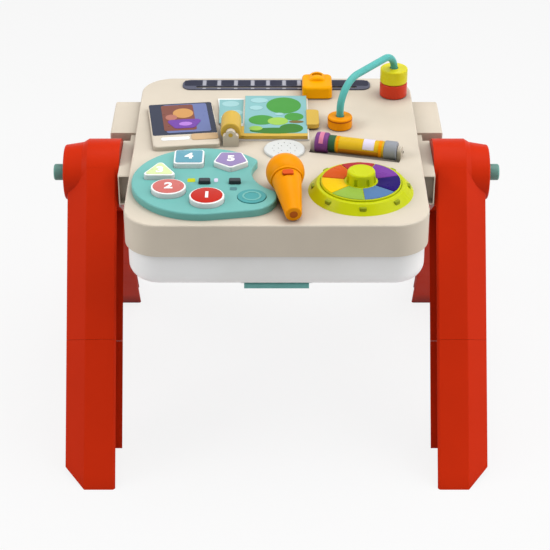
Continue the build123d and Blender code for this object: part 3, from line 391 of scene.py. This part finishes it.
def figure(name, text, size, x, y, low, thick, material, body, weight=0.9 * MM):
    """Raised figure standing on a flat top."""
    curve = bpy.data.curves.new(name, "FONT")
    curve.body = text
    curve.size = size
    curve.align_x = "CENTER"
    curve.align_y = "CENTER"
    curve.extrude = thick / 2
    curve.offset = weight
    holder = bpy.data.objects.new(name + "_curve", curve)
    bpy.context.scene.collection.objects.link(holder)
    bpy.context.view_layer.update()
    mesh = bpy.data.meshes.new_from_object(holder)
    bpy.data.objects.remove(holder)
    bpy.data.curves.remove(curve)
    mesh.name = name
    mesh.transform(Matrix.Translation((x, y, low + thick / 2)))
    return add_piece(name, mesh, material, body)


# Leg seams

NECK_REACH = 10 * MM
SEAM_LOW = 0.1 * MM
SEAM_THICK = 0.1 * MM


def seam_faces(mesh):
    """End faces of a lower leg in its seam, without the end of the neck above them."""
    ends = [p for p in mesh.polygons if 0.6 < p.normal.z < 0.95 and abs(p.normal.x) < 0.01]
    top = max(p.normal.dot(p.center) for p in ends)
    return [p for p in ends if p.normal.dot(p.center) < top - NECK_REACH]


def seam_filler(name, leg):
    """Thin dark plate in a leg's seam, painted shade so that the gap looks shadowed and no light shows
    through it.
    """
    faces = seam_faces(leg)
    up = faces[0].normal.copy()
    work = bmesh.new()
    spots = sorted({v for p in faces for v in p.vertices})
    corner = {v: work.verts.new(leg.vertices[v].co + up * SEAM_LOW) for v in spots}
    floor = [work.faces.new([corner[v] for v in p.vertices]) for p in faces]
    raised = bmesh.ops.extrude_face_region(work, geom=floor)
    top = [v for v in raised["geom"] if isinstance(v, bmesh.types.BMVert)]
    bmesh.ops.translate(work, verts=top, vec=up * SEAM_THICK)
    bmesh.ops.recalc_face_normals(work, faces=work.faces)
    mesh = bpy.data.meshes.new(name)
    work.to_mesh(mesh)
    work.free()
    return mesh


def leg_seams():
    for side in ("left", "right"):
        for end in ("front", "rear"):
            name = f"leg_seam_{end}_{side}"
            mesh = seam_filler(name, NODES[f"lower_leg_{end}_{side}"].data)
            add_piece(name, mesh, SEAM_SHADE, f"side_frame_{side}")


# Keypad

KEY_FACE = {
    "key_1": ("round_key", KEY_RED, "1"),
    "key_2": ("oval_key", KEY_CORAL, "2"),
    "key_3": ("triangle_key", KEY_GREEN, "3"),
    "key_4": ("square_key", KEY_BLUE, "4"),
    "key_5": ("pentagon_key", KEY_VIOLET, "5"),
}
KEY_SPOT = {
    "key_1": (-87.0, -168.0),
    "key_2": (-136.0, -144.0),
    "key_3": (-149.5, -100.2),
    "key_4": (-113.5, -62.0),
    "key_5": (-59.0, -69.0),
    "flush_key": (-31.0, -159.0),
}
ROUND_KEY_R = 22 * MM
OVAL_KEY_R = 20.5 * MM
TRIANGLE_APOTHEM = 13.4 * MM
SQUARE_SIDE = 39 * MM
PENTAGON_APOTHEM = 19.5 * MM
KEY_CORNER_R = 3.5 * MM
FACE_MARGIN = 2.2 * MM
FACE_SINK = 0.2 * MM
FACE_PROUD = 0.5 * MM
FACE_BEVEL = 0.3 * MM
FIGURE_SIZE = 21 * MM
FIGURE_THICK = 0.4 * MM


def key_outline(name, x, y):
    """Outline of a key's coloured face, a margin inside its white body."""
    if name == "key_1":
        return circle(x, y, ROUND_KEY_R - FACE_MARGIN)
    if name == "key_2":
        return circle(x, y, ROUND_KEY_R - FACE_MARGIN, OVAL_KEY_R - FACE_MARGIN)
    if name == "key_3":
        return rounded(polygon(x, y, TRIANGLE_APOTHEM - FACE_MARGIN, 3, 90), KEY_CORNER_R)
    if name == "key_4":
        side = SQUARE_SIDE - 2 * FACE_MARGIN
        return rounded(rectangle(x, y, side, side), KEY_CORNER_R)
    return rounded(polygon(x, y, PENTAGON_APOTHEM - FACE_MARGIN, 5, -90), KEY_CORNER_R)


def key_faces():
    for name, (body, material, text) in KEY_FACE.items():
        x = KEY_SPOT[name][0] * MM
        y = KEY_SPOT[name][1] * MM
        top = KEY_TOP + FACE_PROUD
        outline = key_outline(name, x, y)
        plate(name + "_face", outline, KEY_TOP - FACE_SINK, top, material, body,
              FACE_BEVEL)
        figure(name + "_figure", text, FIGURE_SIZE, x, y, top - SINK, FIGURE_THICK, WHITE, body)


FLUSH_RING = ring_profile(9.5 * MM, 12 * MM, -0.2 * MM, 0.5 * MM, 0.2 * MM)


def flush_key_mark():
    x = KEY_SPOT["flush_key"][0] * MM
    y = KEY_SPOT["flush_key"][1] * MM
    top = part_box("flush_key")[1].z
    place = Matrix.Translation((x, y, top))
    ring("flush_key_ring", place, FLUSH_RING, TEAL, "palette_key", "teal_plastic")


# Marks beside the switches: switch, offset in X and Y, width and depth in mm, material and slot
SWITCH_MARKS = {
    "volume_mark_quiet": ("volume_switch", -17.0, 7, 10.0, 10, LIME, "white_plastic"),
    "volume_mark_loud": ("volume_switch", 14.5, 7, 5.0, 10, LILAC_PRINT, "white_plastic"),
    "mode_mark": ("mode_switch", -1.5, -16, 9, 8, TEAL_GREY, "dark_plastic"),
}
MARK_CORNER_R = 2 * MM


def switch_marks():
    for name, (switch, dx, dy, width, depth, material, slot) in SWITCH_MARKS.items():
        place = centre(switch)
        outline = rectangle(place.x + dx * MM, place.y + dy * MM, width * MM, depth * MM)
        spot = rounded(outline, MARK_CORNER_R)
        plate(name, spot, PANEL_TOP - SINK, PANEL_TOP + PRINT, material, "table")


# Colour disc

SECTOR_COLOURS = {
    "violet": (120, 58, 156),
    "red": (172, 40, 52),
    "orange": (206, 84, 20),
    "yellow": (240, 196, 8),
    "green": (146, 180, 72),
    "blue": (86, 122, 168),
    "indigo": (32, 4, 102),
}
FIRST_SECTOR = math.radians(41.0)
SECTOR_INNER = 21.5 * MM
SECTOR_OUTER = 50.0 * MM
SECTOR_GAP = 0.5 * MM
SECTOR_STEPS = 8
SECTOR_SINK = 0.4 * MM
SECTOR_PROUD = 0.9 * MM
SECTOR_BEVEL = 0.5 * MM
SKIRT_PIPS = 8
PIP_PLACE_R = 60.0 * MM
PIP_W = 6 * MM
PIP_D = 9 * MM
PIP_CORNER_R = 1.8 * MM
PIP_LOW = 4 * MM
PIP_HIGH = 9.2 * MM
PIP_BEVEL = 0.8 * MM


def sector_outline(middle, half):
    """Wedge of the disc between two radii, with straight gaps to its neighbours."""
    place = centre("colour_disc")
    outline = []
    for radius, forward in ((SECTOR_OUTER, 1), (SECTOR_INNER, -1)):
        reach = half - SECTOR_GAP / radius
        for step in range(2 * SECTOR_STEPS + 1):
            angle = middle + forward * reach * (step / SECTOR_STEPS - 1)
            outline.append((place.x + radius * math.cos(angle), place.y + radius * math.sin(angle)))
    return outline


def disc_sectors():
    half = math.pi / len(SECTOR_COLOURS)
    for i, (name, rgb) in enumerate(SECTOR_COLOURS.items()):
        material = plastic(f"sector_{name}", rgb, rough=0.30, dark=0.8, shine=0.05)
        outline = sector_outline(FIRST_SECTOR + 2 * half * i, half)
        plate(f"sector_{name}", outline, DISC_TOP - SECTOR_SINK, DISC_TOP + SECTOR_PROUD, material, "disc",
              SECTOR_BEVEL)


def skirt_pips():
    place = centre("disc_base")
    for i in range(SKIRT_PIPS):
        angle = 2 * math.pi * i / SKIRT_PIPS
        x = place.x + PIP_PLACE_R * math.cos(angle)
        y = place.y + PIP_PLACE_R * math.sin(angle)
        pip = rounded(rectangle(x, y, PIP_W, PIP_D), PIP_CORNER_R)
        outline = turned(pip, (x, y), math.degrees(angle))
        plate(f"skirt_pip_{i + 1}", outline, TABLE_TOP + PIP_LOW, TABLE_TOP + PIP_HIGH, LIME_DARK, "table",
              PIP_BEVEL)


# Roller

ROLLER_TURN = math.radians(-14.5)
BAND_INNER_R = 10.6 * MM
BAND_BEVEL = 0.2 * MM
# Painted highlight: a pink band over the top of the purple end only
PINK_PROFILE = ring_profile(13.4 * MM, 14.3 * MM, 0, 6 * MM, 0.4 * MM)
PINK_START = -49 * MM
PINK_TURN = (110.0, 250.0)

# Bands of the roller: start along the axis, width and radius in mm, first and last angle, material and slot
ROLLER_BANDS = {
    "green": (-36.8, 9.0, 11.5, 0.0, 360.0, BAND_GREEN, "green_plastic"),
    "amber_left": (-26.0, 3.0, 11.4, 0.0, 360.0, ORANGE, "orange_plastic"),
    "amber_right": (31.0, 4.0, 11.4, 0.0, 360.0, ORANGE, "orange_plastic"),
    # Pale printed label over the top half only; the lower half is painted shade
    "label": (10.0, 15.0, 11.3, 100.0, 260.0, LILAC_PRINT, "white_plastic"),
    # Painted shade: orange-brown over the lower half of the body
    "under_shade": (-22.5, 53.0, 11.3, -88.0, 88.0, ROLLER_SHADE, "orange_plastic"),
}


def roller_place(along):
    """Matrix that sets a ring turned about Z on the roller's axis."""
    along_axis = Matrix.Rotation(ROLLER_TURN, 4, "Z") @ Matrix.Rotation(math.pi / 2, 4, "Y")
    return Matrix.Translation(centre("roller_axle")) @ along_axis @ Matrix.Translation((0, 0, along))


def roller_bands():
    for name, (start, width, radius, turn_from, turn_to, material, slot) in ROLLER_BANDS.items():
        profile = ring_profile(BAND_INNER_R, radius * MM, 0, width * MM, BAND_BEVEL)
        place = roller_place(start * MM)
        ring(f"roller_band_{name}", place, profile, material, "roller", slot, turn_from, turn_to)
    place = roller_place(PINK_START)
    ring("roller_band_pink_highlight", place, PINK_PROFILE, PINK_HIGHLIGHT, "roller", "purple_plastic", *PINK_TURN)


# Bead line

BEAD_LINE = ring_profile(16.2 * MM, 16.9 * MM, 11.8 * MM, 13.6 * MM, 0.2 * MM)


def bead_line():
    """Dark line near the top of the front bead: painted shade of a groove there."""
    middle = centre("bead_orange")
    place = Matrix.Translation((middle.x, middle.y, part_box("bead_orange")[0].z))
    ring("bead_orange_groove_shade", place, BEAD_LINE, ORANGE_SHADE, "front_bead", "orange_plastic")


# Slider

# Places across the strip, in mm; a tick has a row, with Y and depth in mm, before and behind the slot
TICK_X = (-103.0, -82.0, -58.0, -34.0, -12.0, 11.0, 32.5)
TICK_ROWS = {"near": (181.5, 4.0), "far": (200.0, 18.0)}
TICK_W = 5.0 * MM
TICK_CORNER_R = 1.2 * MM
FIELD_END_X = 135.0
FIELD_SPACE = 7.0
FIELD_Y = 200.0 * MM
FIELD_D = 17.0 * MM
FIELD_CORNER_R = 2.5 * MM
NOTCH_Y = 181.5 * MM
NOTCH_W = 13.4 * MM
NOTCH_D = 6.4 * MM
NOTCH_CORNER_R = 1.0 * MM
NOTCH_LOW = 4.3 * MM
NOTCH_HIGH = 3.6 * MM
STRIP_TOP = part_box("slider_track")[1].z


def slider_ticks():
    for i, x in enumerate(TICK_X):
        for row, (y, depth) in TICK_ROWS.items():
            outline = rounded(rectangle(x * MM, y * MM, TICK_W, depth * MM), TICK_CORNER_R)
            plate(f"slider_tick_{row}_{i + 1}", outline, STRIP_TOP - SINK, STRIP_TOP + PRINT, PALE_PRINT,
                  "table")


def slider_fields():
    """Dark fields of the strip between the pale ticks."""
    edges = [-FIELD_END_X] + list(TICK_X) + [FIELD_END_X]
    for i in range(len(edges) - 1):
        x = (edges[i] + edges[i + 1]) / 2
        width = edges[i + 1] - edges[i] - FIELD_SPACE
        outline = rounded(rectangle(x * MM, FIELD_Y, width * MM, FIELD_D), FIELD_CORNER_R)
        plate(f"slider_field_{i + 1}", outline, STRIP_TOP - SINK, STRIP_TOP + PRINT, INK, "table")


def slider_notch_shade():
    """Painted shade: a dark plate on the floor of the notch in the slider knob."""
    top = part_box("slider_knob")[1].z
    outline = rounded(rectangle(centre("slider_knob").x, NOTCH_Y, NOTCH_W, NOTCH_D), NOTCH_CORNER_R)
    plate("slider_notch_shade", outline, top - NOTCH_LOW, top - NOTCH_HIGH, ORANGE_SHADE, "slider")


# Tablet and page prints

TABLET_TURN = 7.0
PRINT_STEP = 0.1 * MM

# Fruit bowl on the screen, in mm from the middle of the case: outline and colour, lowest first
TABLET_SHAPES = {
    "window": (rounded(rectangle(6, 17, 60, 88), 4), (104, 116, 166)),
    "cloth": (rounded(rectangle(-5, 19, 44, 80), 4), (122, 66, 52)),
    "big_fruit": (circle(2, 32, 14, 15, 48), (206, 150, 84)),
    "small_fruit": (circle(-15, 20, 8, 9, 48), (178, 112, 96)),
    "bowl": (rounded([(-24, 12), (-12, -15), (14, -15), (28, 12)], 6), (110, 58, 160)),
    "bowl_mark": (circle(3, -2, 9, 6, 40), (180, 124, 214)),
}
TABLET_STRIP = rounded(rectangle(-14, -45, 38, 9), 3)
TABLET_STRIP_PROUD = 0.5 * MM
TABLET_STRIP_BEVEL = 0.3 * MM
TABLET_PILL = rounded(rectangle(25.5, -43, 36, 18), 4)
TABLET_PILL_PROUD = 0.9 * MM
TABLET_PILL_BEVEL = 0.5 * MM


def on_tablet(points):
    """Points in mm from the middle of the tablet, moved and turned to its place."""
    place = centre("tablet_case")
    moved = [(place.x + x * MM, place.y + y * MM) for x, y in points]
    return turned(moved, (place.x, place.y), TABLET_TURN)


def tablet_print():
    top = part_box("tablet_screen")[1].z
    for i, (name, (outline, rgb)) in enumerate(TABLET_SHAPES.items()):
        material = plastic(f"tablet_{name}_print", rgb, rough=0.3, grain=0.05, coat=0.1)
        high = top + (i + 1) * PRINT_STEP
        plate(f"tablet_{name}", on_tablet(outline), top - SINK, high, material, "table")
    case_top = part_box("tablet_case")[1].z
    low = case_top - SINK
    plate("tablet_strip", on_tablet(TABLET_STRIP), low, case_top + TABLET_STRIP_PROUD, WHITE, "table",
          TABLET_STRIP_BEVEL)
    tan = plastic("tablet_tan", (206, 174, 134), rough=0.4)
    plate("tablet_pill", on_tablet(TABLET_PILL), low, case_top + TABLET_PILL_PROUD, tan, "table",
          TABLET_PILL_BEVEL)


PAGE_RIM = 3.2 * MM
PAGE_INKS = {
    name: plastic(f"page_{name}_print", rgb, rough=0.34, grain=0.08)
    for name, rgb in {
        "water": (134, 186, 188),
        "pad": (68, 150, 58),
        "light_pad": (156, 200, 82),
        "deep_pad": (54, 120, 38),
        "bloom": (160, 204, 206),
        "reed": (120, 100, 50),
    }.items()
}

# Corners of the water on the base, in mm; blooms and pads by place and half width and depth in mm
BASE_WATER = [(-78.5, 66.0), (-46.0, 66.0), (-46.0, 142.0), (-80.0, 142.0)]
BASE_BLOOMS = ((-64.0, 128.0, 12.0, 9.0), (-56.0, 100.0, 10.0, 8.0), (-70.0, 86.0, 7.0, 6.0))
BASE_WATER_PROUD = 0.1 * MM
BASE_BLOOM_PROUD = 0.2 * MM
PAGE_PADS = {
    "deep_1": ("deep_pad", -2.0, 33.0, 34.0, 9.0),
    "deep_2": ("deep_pad", 20.0, 40.0, 16.0, 14.0),
    "pad_1": ("pad", 10.0, 112.0, 24.0, 26.0),
    "pad_2": ("pad", -20.0, 66.0, 18.0, 15.0),
    "pad_3": ("pad", 24.0, 76.0, 13.0, 12.0),
    "light_1": ("light_pad", 2.0, 62.0, 14.0, 12.0),
    "light_2": ("light_pad", -28.0, 40.0, 9.0, 7.0),
    "reed_1": ("reed", 27.0, 60.0, 10.0, 4.0),
    "bloom_1": ("bloom", -24.0, 128.0, 12.0, 8.0),
    "bloom_2": ("bloom", -28.0, 104.0, 9.0, 7.0),
    "bloom_3": ("bloom", 4.0, 84.0, 6.0, 4.0),
}
PAGE_WATER_PROUD = 0.1 * MM
PAD_PROUD = 0.14 * MM
PAD_STEP = 0.03 * MM


def base_print():
    """Water and blooms on the base, beside the page."""
    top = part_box("picture_base")[1].z
    water = [(x * MM, y * MM) for x, y in BASE_WATER]
    plate("base_water", water, top - SINK, top + BASE_WATER_PROUD, PAGE_INKS["water"], "table")
    for i, (x, y, rx, ry) in enumerate(BASE_BLOOMS):
        outline = circle(x * MM, y * MM, rx * MM, ry * MM, 40)
        plate(f"base_bloom_{i + 1}", outline, top - SINK, top + BASE_BLOOM_PROUD, PAGE_INKS["bloom"],
              "table")


def page_print():
    """Plain pond with lily pads on the page."""
    low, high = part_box("page_picture")
    left = low.x - PAGE_RIM
    right = high.x + PAGE_RIM
    rear = min(high.y + PAGE_RIM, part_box("page_frame")[1].y - PRINT)
    sheet = [(left, low.y), (right, low.y), (right, rear), (left, rear)]
    plate("page_water", sheet, high.z - SINK, high.z + PAGE_WATER_PROUD, PAGE_INKS["water"], "page")
    for i, (name, (ink, x, y, rx, ry)) in enumerate(PAGE_PADS.items()):
        outline = circle(x * MM, y * MM, rx * MM, ry * MM, 48)
        top = high.z + PAD_PROUD + i * PAD_STEP
        plate(f"page_{name}", outline, high.z - SINK, top, PAGE_INKS[ink], "page")


# Microphone

# Middle of the head and end of the handle
MIC_HEAD = Vector((11.0, -122.0, 385.2)) * MM
MIC_TIP = Vector((21.0, -207.0, 371.0)) * MM
MIC_COLLAR = ring_profile(18.4 * MM, 20.6 * MM, -1.6 * MM, 1.6 * MM, 0.6 * MM)
MIC_COLLAR_AT = 15.2 * MM
MIC_END = circle(0, 0, 5 * MM, steps=40)
MIC_END_SINK = 0.4 * MM


def mic_details():
    axis = (MIC_TIP - MIC_HEAD).normalized()
    facing = axis.to_track_quat("Z", "Y").to_matrix().to_4x4()
    place = Matrix.Translation(MIC_HEAD + axis * MIC_COLLAR_AT) @ facing
    ring("mic_collar", place, MIC_COLLAR, ORANGE, "microphone", "orange_plastic")
    # Dark disc at the handle's tip: painted shade of the hole there
    end = plate_mesh("mic_tip_shade", MIC_END, -MIC_END_SINK, PRINT, 0.0)
    end.transform(Matrix.Translation(MIC_TIP) @ facing)
    add_piece("mic_tip_shade", end, ORANGE_SHADE, "microphone")


# Stage

def make_camera():
    data = bpy.data.cameras.new("camera")
    data.sensor_width = SENSOR_MM
    data.lens = SENSOR_MM * FOCAL_PX / PHOTO_PX
    camera = bpy.data.objects.new("camera", data)
    camera.location = CAMERA_AT
    camera.rotation_euler = (math.pi / 2 - CAMERA_DOWN, 0, 0)
    bpy.context.scene.collection.objects.link(camera)
    bpy.context.scene.camera = camera


def seen_rays(tree):
    """1 for rays that show the background: camera, glossy and transmission rays."""
    path = tree.nodes.new("ShaderNodeLightPath")
    total = path.outputs["Is Camera Ray"]
    for name in ("Is Glossy Ray", "Is Transmission Ray"):
        either = tree.nodes.new("ShaderNodeMath")
        either.operation = "MAXIMUM"
        tree.links.new(total, either.inputs[0])
        tree.links.new(path.outputs[name], either.inputs[1])
        total = either.outputs[0]
    return total


WORLD_LIGHT = 0.20


def make_world():
    world = bpy.data.worlds.new("studio")
    world.use_nodes = True
    bpy.context.scene.world = world
    tree = world.node_tree
    background = tree.nodes["Background"]
    background.inputs["Color"].default_value = (1, 1, 1, 1)
    strength = tree.nodes.new("ShaderNodeMapRange")
    strength.inputs["To Min"].default_value = WORLD_LIGHT
    strength.inputs["To Max"].default_value = 1.0
    tree.links.new(seen_rays(tree), strength.inputs["Value"])
    tree.links.new(strength.outputs["Result"], background.inputs["Strength"])


FLOOR_SIDE = 16.0
FLOOR_THICK = 0.02
FLOOR_GREY = 218
FLOOR_ROUGH = 0.9
FLOOR_GLOW = 0.85


def make_floor():
    """Pale floor that keeps the shadow and is nearly white to rays that show the background."""
    mesh = plate_mesh("floor", rectangle(0, 0, FLOOR_SIDE, FLOOR_SIDE), -FLOOR_THICK, 0.0, 0.0)
    material, tree, bsdf = start_material("floor")
    bsdf.inputs["Base Color"].default_value = linear(FLOOR_GREY, FLOOR_GREY, FLOOR_GREY)
    bsdf.inputs["Roughness"].default_value = FLOOR_ROUGH
    glow = tree.nodes.new("ShaderNodeEmission")
    glow.inputs["Strength"].default_value = 1.0
    share = tree.nodes.new("ShaderNodeMath")
    share.operation = "MULTIPLY"
    share.inputs[1].default_value = FLOOR_GLOW
    tree.links.new(seen_rays(tree), share.inputs[0])
    mix = tree.nodes.new("ShaderNodeMixShader")
    tree.links.new(share.outputs[0], mix.inputs[0])
    tree.links.new(bsdf.outputs[0], mix.inputs[1])
    tree.links.new(glow.outputs[0], mix.inputs[2])
    tree.links.new(mix.outputs[0], tree.nodes["Material Output"].inputs["Surface"])
    mesh.materials.append(material)
    floor = bpy.data.objects.new("floor", mesh)
    bpy.context.scene.collection.objects.link(floor)


def make_lamp(name, place, target, size, power):
    data = bpy.data.lights.new(name, "AREA")
    data.size = size
    data.energy = power
    lamp = bpy.data.objects.new(name, data)
    lamp.location = place
    lamp.rotation_euler = (Vector(target) - Vector(place)).to_track_quat("-Z", "Y").to_euler()
    bpy.context.scene.collection.objects.link(lamp)


# Place, size and power of each lamp, all aimed at the middle of the object
LAMPS = {
    "top": ((0.3, 0.2, 2.4), 1.8, 31),
    "right": ((2.1, -0.4, 1.6), 2.4, 38),
    "left": ((-2.1, -0.4, 1.6), 1.4, 26),
    "front": ((-0.2, -2.6, 0.5), 2.0, 4),
}
LAMP_AIM = (0, 0, 0.3)


def make_lamps():
    for name, (place, size, power) in LAMPS.items():
        make_lamp(name, place, LAMP_AIM, size, power)


make_camera()
make_world()
make_floor()
make_lamps()
dress_nodes()
leg_seams()
key_faces()
flush_key_mark()
switch_marks()
disc_sectors()
skirt_pips()
roller_bands()
bead_line()
slider_ticks()
slider_fields()
slider_notch_shade()
tablet_print()
base_print()
page_print()
mic_details()
bpy.context.scene.view_settings.view_transform = "Standard"
